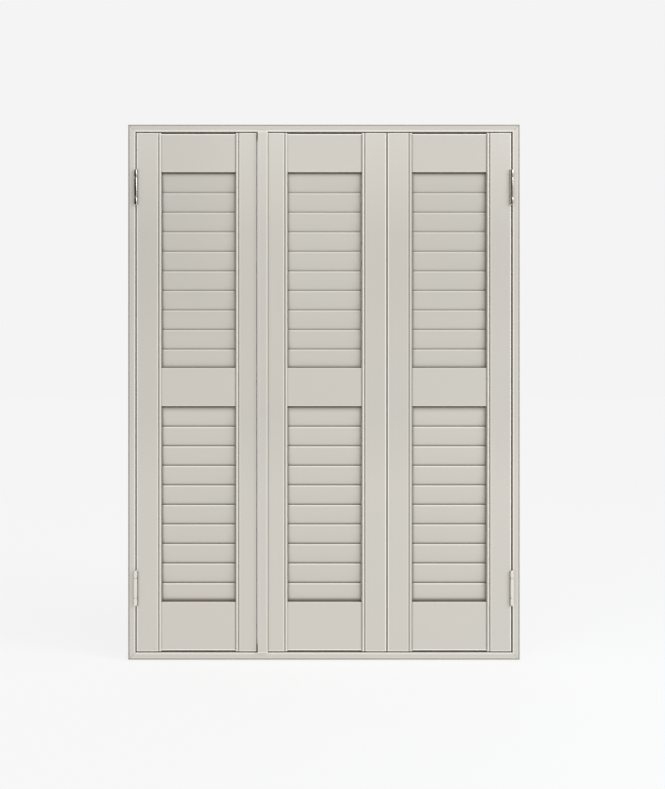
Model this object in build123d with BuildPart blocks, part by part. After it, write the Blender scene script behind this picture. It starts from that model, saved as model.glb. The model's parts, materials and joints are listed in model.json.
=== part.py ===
"""Three-panel louvred shutter in its mitred frame, in millimetres.

+X is the viewer's right, +Y points away from the viewer towards the window, and +Z is up.
The origin is the bottom centre of the whole part's bounding box.
"""
import os
from math import asin, degrees, radians, sin, sqrt

from build123d import *

# Frame: four mitred lengths with a stop lip behind the panels
frame_face = 16.0  # seen from the front
frame_bevel_width = 3.4  # of the outer arris, seen from the front
frame_bevel_depth = 8.0
frame_arris_round = 1.0
stop_reach = 12.0  # how far the lip passes behind the panels
stop_depth = 10.0
stop_clear = 1.0  # from the lip to the closed panels
fixing_hole_radius = 2.5
fixing_inset = 196.5  # from the frame's ends

# Panels
panel_thickness = 27.0
panel_proud = 0.5  # panels in front of the frame's face
panel_gap = 2.5  # round the outside of the panels
fold_gap = 3.0  # between the middle and right panels
stile_width = 50.0
left_meeting_width = 42.6
opening_width = 151.5
edge_round = 0.8  # on the front edges of stiles and rails
bead_width = 5.0
quirk_width = 1.5
rail_setback = 2.25  # rails behind the face of the stiles
rail_short = 1.5  # rails end short of the stiles, top and bottom
top_rail_height = 79.0
mid_rail_height = 78.0
bottom_rail_height = 100.0

# Tongue and groove that close the folding joint to light
tongue_front = 6.0  # behind the face of the stiles
tongue_thickness = 4.0
tongue_lap = 3.5  # into the groove
groove_front_clear = 1.2
groove_back_clear = 0.8
groove_end_clear = 0.7

# Cover strip on the meeting stile of the folding pair
strip_width = 20.8
strip_proud = 5.0
strip_round = 1.2
strip_lap = 10.3  # over the face of the middle panel
strip_stem_inset = 1.0  # from the cap's free edge
strip_stem_depth = 22.0
left_panel_clear = 2.4  # from the left panel to the strip

# Louvres
louvre_count = 10
louvre_pitch = 39.95
louvre_lap = 6.35  # of one louvre over the next, along the chord
louvre_thickness = 8.0
louvre_edge = 1.8
louvre_closed_gap = 2.4  # between lapped louvres
louvre_end_gap = 1.0
louvre_top_clear = 2.0  # from the rail above to the sweep of the first louvre
lip_tuck = 1.2  # of the lip's back behind the louvre's widest line
rebate_clear = 1.225  # under the lowest louvre's edge
light_stop_lap = 4.5  # of the rail's back lip over the first louvre's edge
light_stop_clear = 0.7  # from the closed first louvre to that lip
pin_radius = 2.0
pin_length = 8.0
pin_slack = 0.06
pin_end_slack = 0.5

# Hinges
knuckle_radius = 3.7
knuckle_crown = 0.45  # of a knuckle's middle over its ends
knuckle_clear = 0.3  # from the barrel to the panel's face
leaf_play = 0.3  # between the two leaves of a closed hinge
leaf_depth = 22.0
fold_leaf_clear = 1.0  # from the fold hinge's leaves to the groove
end_knuckle = 15.0
middle_knuckle = 40.0
knuckle_gap = 0.4
hinge_pin_radius = 1.8
hinge_pin_slack = 0.06
hinge_head_lip = 1.0  # of the pin's head beyond its shank
hinge_head_height = 1.0
upper_hinge_inset = 111.5  # from the panel's top to the middle of the hinge
lower_hinge_inset = 129.5  # from the panel's bottom

# Worked out from the above
louvre_chord = louvre_pitch + louvre_lap
louvre_drop = louvre_lap / 2 + louvre_top_clear  # of the pivots in their shares of the tier
tier_height = louvre_count * louvre_pitch
louvre_bulge = (louvre_thickness - louvre_edge) / 2
louvre_radius = ((louvre_chord / 2) ** 2 + louvre_bulge**2) / (2 * louvre_bulge)
lap_thickness = louvre_thickness - 2 * (
    louvre_radius - sqrt(louvre_radius**2 - (louvre_pitch / 2) ** 2)
)
closed_tilt = degrees(asin((lap_thickness + louvre_closed_gap) / louvre_pitch))
rebate_depth = louvre_lap / 2 + louvre_drop + rebate_clear
rebate_lip = (panel_thickness - louvre_thickness) / 2 + lip_tuck
light_stop_drop = louvre_top_clear + light_stop_lap
light_stop_chord = louvre_chord / 2 - light_stop_lap
light_stop_back = (  # from the louvres' pivots to the front of the lip
    louvre_thickness / 2
    - (louvre_radius - sqrt(louvre_radius**2 - light_stop_chord**2))
    - light_stop_chord * sin(radians(closed_tilt))
    + light_stop_clear
)

panel_height = top_rail_height + mid_rail_height + bottom_rail_height + 2 * tier_height
panel_width = 2 * stile_width + opening_width
left_panel_width = stile_width + opening_width + left_meeting_width
meeting_gap = left_panel_clear + strip_width - strip_lap
strip_stem_width = strip_width - strip_lap - strip_stem_inset
inside_width = left_panel_width + meeting_gap + 2 * panel_width + fold_gap + 2 * panel_gap
frame_width = inside_width + 2 * frame_face
frame_height = panel_height + 2 * panel_gap + 2 * frame_face
frame_depth = stop_depth + stop_clear + panel_thickness - panel_proud
mitre_depth = frame_face + stop_reach

hinge_standoff = knuckle_radius + knuckle_clear  # of the axis from the panel's face
hinge_reach = panel_proud + hinge_standoff + knuckle_radius
leaf_thickness = (panel_gap - leaf_play) / 2
fold_leaf_thickness = (fold_gap - leaf_play) / 2
fold_leaf_depth = (
    panel_thickness - tongue_front - tongue_thickness - groove_back_clear - fold_leaf_clear
)
hinge_head_radius = hinge_pin_radius + hinge_head_lip
hinge_height = 2 * end_knuckle + middle_knuckle + 2 * knuckle_gap
end_knuckle_offset = (hinge_height - end_knuckle) / 2

wall_y = (frame_depth + hinge_reach) / 2
frame_front = wall_y - frame_depth
panel_front = frame_front - panel_proud
panel_back = panel_front + panel_thickness
louvre_y = panel_front + panel_thickness / 2
jamb_axis_y = panel_front - hinge_standoff
fold_axis_y = panel_back + hinge_standoff

jamb_x = frame_width / 2 - frame_face
panel_edge_x = jamb_x - panel_gap
strip_x = left_panel_width - panel_edge_x + left_panel_clear
middle_panel_x = left_panel_width - panel_edge_x + meeting_gap
right_panel_x = middle_panel_x + panel_width + fold_gap
jamb_axis_x = jamb_x - panel_gap / 2
fold_axis_x = right_panel_x - fold_gap / 2

panel_bottom = frame_face + panel_gap
panel_top = panel_bottom + panel_height
lower_tier_z = panel_bottom + bottom_rail_height
upper_tier_z = lower_tier_z + tier_height + mid_rail_height
hinge_heights = (panel_bottom + lower_hinge_inset, panel_top - upper_hinge_inset)


def pivot_z(tier_bottom, number):
    """Height of a louvre's pivot, counted from the top of its tier."""
    return tier_bottom + tier_height - louvre_drop - (number + 0.5) * louvre_pitch


def frame_length(outer, inward, half_length, mitre, fixings=None):
    """One length of frame: its profile along the outer edge, cut to the mitred outline, with
    two holes along Z of the fixings plane where there is one."""
    run = Plane(origin=outer, x_dir=(0, 1, 0), z_dir=Vector(0, 1, 0).cross(Vector(*inward)))
    with BuildPart() as length:
        with BuildSketch(run):
            with BuildLine():
                Polyline(
                    (-frame_depth, frame_bevel_width),
                    (frame_bevel_depth - frame_depth, 0),
                    (0, 0),
                    (0, mitre_depth),
                    (-stop_depth, mitre_depth),
                    (-stop_depth, frame_face),
                    (-frame_depth, frame_face),
                    close=True,
                )
            profile = make_face()
            front = profile.vertices().group_by(Axis.Y)[0].sort_by(
                lambda v: (v.center() - Vector(*outer)).dot(Vector(*inward))
            )
            fillet(front, radius=frame_arris_round)
        extrude(amount=half_length, both=True)
        with BuildSketch(Plane.XZ):
            with BuildLine():
                Polyline(*mitre, close=True)
            make_face()
        extrude(amount=frame_width, both=True, mode=Mode.INTERSECT)
        if fixings:
            with BuildSketch(fixings):
                with GridLocations(frame_height - 2 * fixing_inset, 0, 2, 1):
                    Circle(fixing_hole_radius)
            extrude(amount=mitre_depth, mode=Mode.SUBTRACT)
    return length


def jamb(side):
    """Upright length of frame on one side, -1 or 1, with its fixing holes through the lip."""
    edge = side * frame_width / 2
    inner = edge - side * mitre_depth
    lip = Plane(
        origin=(inner, wall_y - stop_depth / 2, frame_height / 2),
        x_dir=(0, 0, 1),
        z_dir=(side, 0, 0),
    )
    return frame_length(
        outer=(edge, wall_y, frame_height / 2),
        inward=(-side, 0, 0),
        half_length=frame_height / 2,
        mitre=[
            (edge, 0),
            (edge, frame_height),
            (inner, frame_height - mitre_depth),
            (inner, mitre_depth),
        ],
        fixings=lip,
    )


def cross_length(edge, inward):
    """Head or sill: the frame's level length, whose outer edge is at height edge."""
    half, inner = frame_width / 2, edge + inward * mitre_depth
    return frame_length(
        outer=(0, wall_y, edge),
        inward=(0, 0, inward),
        half_length=half,
        mitre=[
            (-half, edge),
            (half, edge),
            (half - mitre_depth, inner),
            (mitre_depth - half, inner),
        ],
    )


def stile_edge(outer_x, way, joint):
    """Corners down the outer edge of a stile, from back to front, that make its tongue or
    groove."""
    front = panel_front + tongue_front
    back = front + tongue_thickness
    if joint == "tongue":
        tip = outer_x - way * (fold_gap + tongue_lap)
        return [(outer_x, back), (tip, back), (tip, front), (outer_x, front)]
    if joint == "groove":
        front, back = front - groove_front_clear, back + groove_back_clear
        bottom = outer_x + way * (tongue_lap + groove_end_clear)
        return [(outer_x, back), (bottom, back), (bottom, front), (outer_x, front)]
    return []


def stile(outer_x, way, width, joint=None):
    """Upright of a panel, from its outer edge towards the louvres (way is -1 or 1), beaded
    along its inner front edge and bored for the pins of the upper louvres."""
    inner_x = outer_x + way * width
    bead_x = inner_x - way * bead_width
    quirk_x = bead_x - way * quirk_width
    bead_y = panel_front + bead_width / 2
    with BuildPart() as upright:
        with BuildSketch(Plane.XY.offset(panel_bottom)):
            with BuildLine():
                Polyline(
                    (inner_x, bead_y),
                    (inner_x, panel_back),
                    (outer_x, panel_back),
                    *stile_edge(outer_x, way, joint),
                    (outer_x, panel_front),
                    (quirk_x, panel_front),
                    (quirk_x, bead_y),
                    (bead_x, bead_y),
                )
                ThreePointArc(
                    (bead_x, bead_y),
                    ((bead_x + inner_x) / 2, panel_front),
                    (inner_x, bead_y),
                )
            section = make_face()
            corners = section.vertices().group_by(Axis.Y)[0]
            fillet(corners.sort_by(Axis.X)[0 if way > 0 else -1], radius=edge_round)
        extrude(amount=panel_top - panel_bottom)
        bores = Plane(origin=(inner_x, louvre_y, 0), x_dir=(0, 0, 1), z_dir=(way, 0, 0))
        with BuildSketch(bores):
            with Locations(*[(pivot_z(upper_tier_z, n), 0) for n in range(louvre_count)]):
                Circle(pin_radius + pin_slack)
        extrude(amount=-(pin_length + pin_end_slack - louvre_end_gap), mode=Mode.SUBTRACT)
    return upright


def rail(opening_x, bottom, top, louvres_above, louvres_below):
    """Cross-piece of a panel. The louvres above it close behind a front lip along its top, and
    those below it close in front of a lip along its back."""
    face = panel_front + rail_setback
    upper_edge, lower_edge = [(panel_back, top)], [(panel_back, bottom)]
    if louvres_above:
        lip, floor = panel_front + rebate_lip, top - rebate_depth
        upper_edge = [(panel_back, floor), (lip, floor), (lip, top)]
    if louvres_below:
        stop, end = louvre_y + light_stop_back, bottom - light_stop_drop
        lower_edge = [(stop, bottom), (stop, end), (panel_back, end)]
    with BuildPart() as cross:
        with BuildSketch(Plane(origin=(opening_x, 0, 0), x_dir=(0, 1, 0), z_dir=(1, 0, 0))):
            with BuildLine():
                Polyline((face, bottom), *lower_edge, *upper_edge, (face, top), close=True)
            section = make_face()
            fillet(section.vertices().group_by(Axis.Y)[0], radius=edge_round)
        extrude(amount=opening_width)
    return cross


def louvre_plane(x, z):
    """Section plane of a louvre at rest: local X runs up its chord and local Z along +X."""
    chord = Vector(0, 0, 1).rotate(Axis.X, closed_tilt)
    return Plane(origin=(x, louvre_y, z), x_dir=chord, z_dir=(1, 0, 0))


def louvre_section(x, z):
    """Lens section of a louvre: two arcs and two blunt edges."""
    half, edge, middle = louvre_chord / 2, louvre_edge / 2, louvre_thickness / 2
    with BuildSketch(louvre_plane(x, z)) as section:
        with BuildLine():
            ThreePointArc((-half, edge), (0, middle), (half, edge))
            Line((half, edge), (half, -edge))
            ThreePointArc((half, -edge), (0, -middle), (-half, -edge))
            Line((-half, -edge), (-half, edge))
        make_face()
    return section.sketch


def tilting_louvre(opening_x, number):
    """Louvre of an upper tier with the round pins that it turns on."""
    z = pivot_z(upper_tier_z, number)
    left, right = opening_x + louvre_end_gap, opening_x + opening_width - louvre_end_gap
    with BuildPart() as slat:
        extrude(louvre_section(left, z), amount=right - left)
        for end, way in ((left, -1), (right, 1)):
            with BuildSketch(louvre_plane(end, z)):
                Circle(pin_radius)
            extrude(amount=way * pin_length)
    return slat


def fixed_louvres(opening_x):
    """The lower tier's louvres, which reach from stile to stile."""
    with BuildPart() as bank:
        for number in range(louvre_count):
            extrude(louvre_section(opening_x, pivot_z(lower_tier_z, number)), amount=opening_width)
    return bank


def knuckle_section(axis_x, axis_y, middle_z, height):
    """Half section of a knuckle beside its axis, bored for the pin and crowned outside."""
    bore, end = hinge_pin_radius + hinge_pin_slack, knuckle_radius - knuckle_crown
    upright = Plane(origin=(axis_x, axis_y, middle_z), x_dir=(1, 0, 0), z_dir=(0, -1, 0))
    with BuildSketch(upright) as section:
        with BuildLine():
            Polyline((end, -height / 2), (bore, -height / 2), (bore, height / 2), (end, height / 2))
            ThreePointArc((end, height / 2), (knuckle_radius, 0), (end, -height / 2))
        make_face()
    return section.sketch


def hinge_half(axis_x, axis_y, plate_x, plate_thickness, depth, way, knuckles):
    """Leaves of one hinge line in the open builder: a plate from plate_x towards -X or +X,
    knuckles as (offset, height) pairs, and webs between them. way is the side of the axis,
    -1 or 1 along Y, on which the plate lies."""
    plate_edge = axis_y + way * hinge_standoff
    mid_x = plate_x + plate_thickness / 2
    bore = hinge_pin_radius + hinge_pin_slack
    for height in hinge_heights:
        with Locations((mid_x, plate_edge + way * depth / 2, height)):
            Box(abs(plate_thickness), depth, hinge_height)
        for offset, knuckle in knuckles:
            with Locations((mid_x, (axis_y + plate_edge) / 2, height + offset)):
                Box(abs(plate_thickness), hinge_standoff, knuckle)
            with Locations((axis_x, axis_y, height + offset)):
                Cylinder(bore, knuckle, mode=Mode.SUBTRACT)
            revolve(
                knuckle_section(axis_x, axis_y, height + offset, knuckle),
                axis=Axis((axis_x, axis_y, 0), (0, 0, 1)),
            )


def hinge_pins(axes):
    """Headed pins through the hinges on each (x, y) axis."""
    with BuildPart() as pins:
        for x, y in axes:
            for height in hinge_heights:
                with Locations((x, y, height)):
                    Cylinder(hinge_pin_radius, hinge_height)
                for side in (-1, 1):
                    head = height + side * (hinge_height + hinge_head_height) / 2
                    with Locations((x, y, head)):
                        Cylinder(hinge_head_radius, hinge_head_height)
    return pins


outer_knuckles = [(-end_knuckle_offset, end_knuckle), (end_knuckle_offset, end_knuckle)]
inner_knuckle = [(0, middle_knuckle)]
nodes = {}

# Frame
nodes["frame_head"] = cross_length(frame_height, -1)
nodes["frame_sill"] = cross_length(0, 1)
nodes["frame_left_jamb"] = jamb(-1)
nodes["frame_right_jamb"] = jamb(1)

# Panels: outer edges, widths of the two stiles and their names. The right panel's tongue closes
# the folding joint in the middle panel's groove.
fold_joints = {"middle_fold": "groove", "right_fold": "tongue"}
panels = {
    "left": (-panel_edge_x, stile_width, left_meeting_width, "hinge", "meeting"),
    "middle": (middle_panel_x, stile_width, stile_width, "meeting", "fold"),
    "right": (right_panel_x, stile_width, stile_width, "fold", "hinge"),
}
for panel, (edge, first, second, first_name, second_name) in panels.items():
    opening_x = edge + first
    far_edge = opening_x + opening_width + second
    mid_bottom = lower_tier_z + tier_height
    for stile_name, outer_x, way, width in (
        (f"{panel}_{first_name}", edge, 1, first),
        (f"{panel}_{second_name}", far_edge, -1, second),
    ):
        nodes[f"{stile_name}_stile"] = stile(outer_x, way, width, fold_joints.get(stile_name))
    nodes[f"{panel}_top_rail"] = rail(
        opening_x, upper_tier_z + tier_height, panel_top - rail_short, False, louvres_below=True
    )
    nodes[f"{panel}_mid_rail"] = rail(
        opening_x, mid_bottom, upper_tier_z, louvres_above=True, louvres_below=True
    )
    nodes[f"{panel}_bottom_rail"] = rail(
        opening_x, panel_bottom + rail_short, lower_tier_z, True, louvres_below=False
    )
    for number in range(louvre_count):
        nodes[f"{panel}_upper_louvre_{number + 1:02}"] = tilting_louvre(opening_x, number)
    nodes[f"{panel}_lower_louvres"] = fixed_louvres(opening_x)

# Cover strip: a rounded cap over the meeting joint, with its stem on the middle panel's edge
with BuildPart() as cover_strip:
    with BuildSketch(Plane.XY.offset(frame_face)):
        with Locations((strip_x + strip_width / 2, panel_front - strip_proud / 2)):
            cap = Rectangle(strip_width, strip_proud)
        fillet(cap.vertices().group_by(Axis.Y)[0], radius=strip_round)
    extrude(amount=frame_height - 2 * frame_face)
    with BuildSketch(Plane.XY.offset(panel_bottom)):
        with Locations((middle_panel_x - strip_stem_width / 2, panel_front + strip_stem_depth / 2)):
            Rectangle(strip_stem_width, strip_stem_depth)
    extrude(amount=panel_top - panel_bottom)
nodes["cover_strip"] = cover_strip

# Jamb hinges: the frame's halves carry the end knuckles, the panels' halves the middle one
with BuildPart() as jamb_hinge_leaves:
    hinge_half(-jamb_axis_x, jamb_axis_y, -jamb_x, leaf_thickness, leaf_depth, 1, outer_knuckles)
    hinge_half(jamb_axis_x, jamb_axis_y, jamb_x, -leaf_thickness, leaf_depth, 1, outer_knuckles)
nodes["jamb_hinge_leaves"] = jamb_hinge_leaves
with BuildPart() as left_hinge_leaves:
    hinge_half(-jamb_axis_x, jamb_axis_y, -panel_edge_x, -leaf_thickness, leaf_depth, 1, inner_knuckle)
nodes["left_hinge_leaves"] = left_hinge_leaves
with BuildPart() as right_hinge_leaves:
    hinge_half(jamb_axis_x, jamb_axis_y, panel_edge_x, leaf_thickness, leaf_depth, 1, inner_knuckle)
nodes["right_hinge_leaves"] = right_hinge_leaves
nodes["jamb_hinge_pins"] = hinge_pins([(-jamb_axis_x, jamb_axis_y), (jamb_axis_x, jamb_axis_y)])

# Fold hinges: knuckles behind the joint of the middle and right panels
middle_edge_x = right_panel_x - fold_gap
with BuildPart() as right_fold_leaves:
    hinge_half(
        fold_axis_x, fold_axis_y, right_panel_x, -fold_leaf_thickness, fold_leaf_depth, -1, outer_knuckles
    )
nodes["right_fold_leaves"] = right_fold_leaves
with BuildPart() as middle_fold_leaves:
    hinge_half(
        fold_axis_x, fold_axis_y, middle_edge_x, fold_leaf_thickness, fold_leaf_depth, -1, inner_knuckle
    )
nodes["middle_fold_leaves"] = middle_fold_leaves
nodes["fold_hinge_pins"] = hinge_pins([(fold_axis_x, fold_axis_y)])

os.makedirs("parts", exist_ok=True)
for name, node in nodes.items():
    node.part.label = name
    export_step(node.part, f"parts/{name}.step")
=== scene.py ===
# %% [markdown]
# A louvred shutter, dressed for the camera. The solids of the shutter come in as a fixed frame:
# their sizes and places are already right, so this lesson never moves them. It puts a finer
# surface over each one, with eased arrises and painted timber, and leaves the solids to carry
# the motion. Everything is in metres, with +Z up and the viewer looking along +Y.

# %% Load the solids
import json
import math

import bpy
import numpy as np
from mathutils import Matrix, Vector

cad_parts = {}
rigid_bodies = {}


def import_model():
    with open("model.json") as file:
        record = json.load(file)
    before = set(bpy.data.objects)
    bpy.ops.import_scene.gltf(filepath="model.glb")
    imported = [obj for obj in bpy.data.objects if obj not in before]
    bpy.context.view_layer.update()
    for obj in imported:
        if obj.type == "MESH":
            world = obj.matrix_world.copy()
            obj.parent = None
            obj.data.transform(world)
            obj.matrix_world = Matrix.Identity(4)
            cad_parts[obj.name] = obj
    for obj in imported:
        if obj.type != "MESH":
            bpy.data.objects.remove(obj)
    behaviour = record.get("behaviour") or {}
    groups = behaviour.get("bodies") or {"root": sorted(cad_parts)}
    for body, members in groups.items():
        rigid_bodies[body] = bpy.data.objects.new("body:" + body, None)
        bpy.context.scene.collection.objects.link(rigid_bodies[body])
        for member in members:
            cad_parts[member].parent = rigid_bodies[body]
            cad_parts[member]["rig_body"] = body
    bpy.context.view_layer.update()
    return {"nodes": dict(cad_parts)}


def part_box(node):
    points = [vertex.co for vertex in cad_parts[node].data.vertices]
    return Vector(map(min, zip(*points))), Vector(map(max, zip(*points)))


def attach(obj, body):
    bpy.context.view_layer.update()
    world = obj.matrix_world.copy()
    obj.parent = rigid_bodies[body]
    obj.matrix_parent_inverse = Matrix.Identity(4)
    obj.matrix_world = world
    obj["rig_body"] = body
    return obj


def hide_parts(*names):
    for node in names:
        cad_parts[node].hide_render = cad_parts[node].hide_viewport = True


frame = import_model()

scene = bpy.context.scene
mm = 0.001


# %% Where a solid is
def place(node):
    """Lowest and highest corner of a solid, as two arrays, and the body that carries it."""
    low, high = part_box(node)
    return np.array(low), np.array(high), frame["nodes"][node]["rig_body"]


frame_low, frame_high, _ = place("frame_left_jamb")
stile_low, stile_high, _ = place("left_hinge_stile")
frame_front, frame_back = frame_low[1], frame_high[1]
panel_front, panel_back = stile_low[1], stile_high[1]
half_width = -frame_low[0]
frame_height = frame_high[2]
print(f"frame {2 * half_width:.3f} by {frame_height:.3f} m")

# %% [markdown]
# Materials are node graphs, and a graph is easier to read as a sum than as a web of links. One
# small class holds a socket: adding or multiplying two of them adds a Math node behind the
# scenes, and every other kind of node comes from its single make method.


# %% Shader arithmetic
class Field:
    """A value that varies over a surface: one socket of a node tree, with operators."""

    def __init__(self, tree, socket=None):
        self.tree = tree
        self.socket = socket

    def make(self, kind, settings=None, sockets=None, output=0):
        """Adds a node: its settings first, then the values or links of its input sockets."""
        node = self.tree.nodes.new(kind)
        for name, value in (settings or {}).items():
            setattr(node, name, value)
        self.feed(node, sockets or {})
        return Field(self.tree, node.outputs[output])

    def feed(self, node, sockets):
        """Links fields to a node's input sockets, and sets plain values on them."""
        for key, value in sockets.items():
            if isinstance(value, Field):
                self.tree.links.new(value.socket, node.inputs[key])
            else:
                node.inputs[key].default_value = value

    def math(self, operation, first, second):
        return self.make("ShaderNodeMath", {"operation": operation}, {0: first, 1: second})

    def mix(self, share, first, second):
        """Colour between first and second."""
        sockets = {0: share, 6: first, 7: second}
        return self.make("ShaderNodeMix", {"data_type": "RGBA"}, sockets, output=2)

    def ramp(self, none, full):
        """Rises from 0 where this field is at none to 1 where it is at full."""
        sockets = {"Value": self, "From Min": none, "From Max": full}
        return self.make("ShaderNodeMapRange", None, sockets)

    def axis(self, index):
        """One coordinate of this field."""
        return self.make("ShaderNodeSeparateXYZ", None, {"Vector": self}, output=index)

    def noise(self, scale, detail, roughness=0.5):
        """Noise over these coordinates."""
        sockets = {"Vector": self, "Scale": scale, "Detail": detail, "Roughness": roughness}
        return self.make("ShaderNodeTexNoise", None, sockets)

    def bump(self, strength, depth):
        """Normal of a surface with this field as its height."""
        sockets = {"Height": self, "Strength": strength, "Distance": depth}
        return self.make("ShaderNodeBump", None, sockets, output="Normal")

    def __add__(self, other):
        return self.math("ADD", self, other)

    def __sub__(self, other):
        return self.math("SUBTRACT", self, other)

    def __rsub__(self, other):
        return self.math("SUBTRACT", other, self)

    def __mul__(self, other):
        return self.math("MULTIPLY", self, other)

    def at_least(self, other):
        return self.math("MAXIMUM", self, other)

    __radd__ = __add__
    __rmul__ = __mul__


def new_material(name):
    """A new material with its shader node and an empty field to start a graph from."""
    material = bpy.data.materials.new(name)
    material.use_nodes = True
    return material, material.node_tree.nodes["Principled BSDF"], Field(material.node_tree)


print("shader arithmetic ready")

# %% [markdown]
# The timber has a satin, warm off-white paint. Sprayed and then brushed out, it keeps faint
# strokes along each piece, broad patches that are a shade warmer or cooler, and a very fine
# pebble. On the arrises the film is thin and a little lighter, and in the quirks it pools and
# looks darker. The same marks also carry painted light: painted highlights on arrises and noses,
# and painted shade in hollows, laps, gaps and along joints. That can't come from noise, so each
# mesh carries an attribute of paint wear and painted shading: about 1 on an arris, about -1 in a
# hollow and 0 elsewhere. A painted shadow beside the hinges makes a dark line on the face of the
# stile. Painted light makes the uprights a shade lighter at the top and in the lower half.

# %% Paint
paint_warm = (0.580, 0.533, 0.476, 1.0)
paint_cool = (0.553, 0.531, 0.478, 1.0)
# Thin paint, also used for painted highlights and painted light, and pooled paint, also used for painted
# shade and shadow.
thin_paint_and_highlight = (0.900, 0.872, 0.800, 1.0)
pooled_paint_and_shade = (0.215, 0.188, 0.148, 1.0)
stroke_along, stroke_across, stroke_detail, stroke_roughness = 9.0, 420.0, 4.0, 0.55
patch_scale, patch_detail, pebble_scale, pebble_detail = 4.5, 2.0, 1400.0, 1.0
patch_tint, stroke_tint, tint_offset, wear_and_shading_share, shadow_share = 1.8, 0.6, 0.7, 0.8, 0.95
satin, stroke_dulling, thin_gloss, paint_specular = 0.40, 0.12, 0.06, 0.4
stroke_relief, pebble_relief, relief_strength, relief_depth = 0.8, 0.2, 0.10, 0.4 * mm
# The painted shadow beside the hinges: the hinges' half height, and where the shadow ends across, how it
# fades and how deep it reaches.
hinge_half, shadow_edge, shadow_fade, shadow_depth = 35 * mm, 379 * mm, 1.5 * mm, 1 * mm
# Painted light on the uprights: how much lighter at the top and in the lower half, and over which
# heights.
top_light, top_light_start, top_light_end = 0.22, 870 * mm, 1060 * mm
low_light, low_light_start, low_light_end = 0.10, 500 * mm, 350 * mm


def hinge_shadow(where):
    """Shade beside the four jamb hinges: three ramps from 0 to 1, by the distances from the middle
    of the part and from the nearest hinge's middle height and by the depth, multiplied."""
    pins_low, pins_high, _ = place("jamb_hinge_pins")
    middle = (pins_low[2] + pins_high[2]) / 2
    hinge = pins_high[2] - middle - hinge_half
    x, y, z = (where.axis(index) for index in range(3))
    height = (z - middle).at_least(middle - z)
    shade = 1.0
    for value, none, full in (
        (x.at_least(0.0 - x), shadow_edge - shadow_fade, shadow_edge),
        ((height - hinge).at_least(hinge - height), hinge_half + shadow_fade, hinge_half),
        (y, panel_front + shadow_depth, panel_front),
    ):
        shade = shade * value.ramp(none, full)
    return shade


def painted(name, grain, tone=1.0, shadowed=False):
    """Satin paint with strokes along one axis, 0 for X or 2 for Z, and its tone scaled."""
    material, shader, graph = new_material(name)

    def shade(colour):
        return (*(tone * part for part in colour[:3]), 1.0)

    where = graph.make("ShaderNodeTexCoord", output="Object")
    stretch = [stroke_across] * 3
    stretch[grain] = stroke_along
    combed = graph.make("ShaderNodeMapping", None, {"Vector": where, "Scale": stretch})
    strokes = combed.noise(1.0, stroke_detail, stroke_roughness)
    patches = where.noise(patch_scale, patch_detail)
    pebble = where.noise(pebble_scale, pebble_detail)
    # Paint wear and painted shading from the mesh: above 0, thin paint and a painted highlight; below 0,
    # pooled paint and a painted shade.
    wear = graph.make("ShaderNodeAttribute", {"attribute_name": "wear"}, output="Fac")
    thin_and_highlit = wear.at_least(0.0)
    pooled_and_shaded = (0.0 - wear).at_least(0.0)

    tint = patches * patch_tint + strokes * stroke_tint - tint_offset
    colour = graph.mix(tint, shade(paint_warm), shade(paint_cool))
    # Painted light: the uprights a shade lighter at the top and in the lower half.
    if grain == 2:
        height = where.axis(grain)
        top_painted_light = height.ramp(top_light_start, top_light_end) * top_light
        low_painted_light = height.ramp(low_light_start, low_light_end) * low_light
        colour = graph.mix(top_painted_light + low_painted_light, colour, shade(thin_paint_and_highlight))
    colour = graph.mix(thin_and_highlit * wear_and_shading_share, colour, shade(thin_paint_and_highlight))
    colour = graph.mix(pooled_and_shaded * wear_and_shading_share, colour, shade(pooled_paint_and_shade))
    # Painted shadow beside the hinges.
    if shadowed:
        colour = graph.mix(hinge_shadow(where) * shadow_share, colour, pooled_paint_and_shade)
    relief = strokes * stroke_relief + pebble * pebble_relief
    graph.feed(shader, {
        "Base Color": colour,
        "Roughness": satin + strokes * stroke_dulling - thin_and_highlit * thin_gloss,
        "Normal": relief.bump(relief_strength, relief_depth),
        "Specular IOR Level": paint_specular,
    })
    return material


# Each kind of piece has a tone of its own. The middle rails are a shade darker than the other rails and
# the lower louvres lighter than the upper ones: painted light and shade, as the light falls.
upright_paint = painted("upright_paint", grain=2, tone=0.97)
hinge_stile_paint = painted("hinge_stile_paint", grain=2, tone=0.97, shadowed=True)
level_paint = painted("level_paint", grain=0, tone=1.03)
middle_paint = painted("middle_paint", grain=0, tone=0.985)
upper_paint = painted("upper_louvre_paint", grain=0, tone=0.955)
lower_paint = painted("lower_louvre_paint", grain=0, tone=0.99)
paints = (upright_paint, hinge_stile_paint, level_paint, middle_paint, upper_paint, lower_paint)
print("paints:", *(paint.name for paint in paints))

# %% [markdown]
# The hinges are polished nickel. A mirror with nothing on it looks fake, so fine turning marks
# run round the barrels and a faint haze of handling dulls them in patches. The screws are the
# same metal, less polished.

# %% Nickel
nickel_bright = (0.86, 0.83, 0.77, 1.0)
nickel_dull = (0.72, 0.68, 0.61, 1.0)
mark_stretch, mark_detail, haze_scale, haze_detail = (60.0, 60.0, 5200.0), 2.0, 160.0, 3.0
haze_tint, haze_dulling, mark_dulling = 0.6, 0.05, 0.03
mark_strength, mark_depth = 0.05, 0.1 * mm


def nickel(name, polish):
    """Metal whose roughness rises from polish where it has been handled, with turning marks."""
    material, shader, graph = new_material(name)
    where = graph.make("ShaderNodeTexCoord", output="Object")
    ringed = graph.make("ShaderNodeMapping", None, {"Vector": where, "Scale": mark_stretch})
    marks = ringed.noise(1.0, mark_detail)
    haze = where.noise(haze_scale, haze_detail)
    graph.feed(shader, {
        "Base Color": graph.mix(haze * haze_tint, nickel_bright, nickel_dull),
        "Roughness": polish + haze * haze_dulling + marks * mark_dulling,
        "Normal": marks.bump(mark_strength, mark_depth),
        "Metallic": 1.0,
    })
    return material


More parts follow.
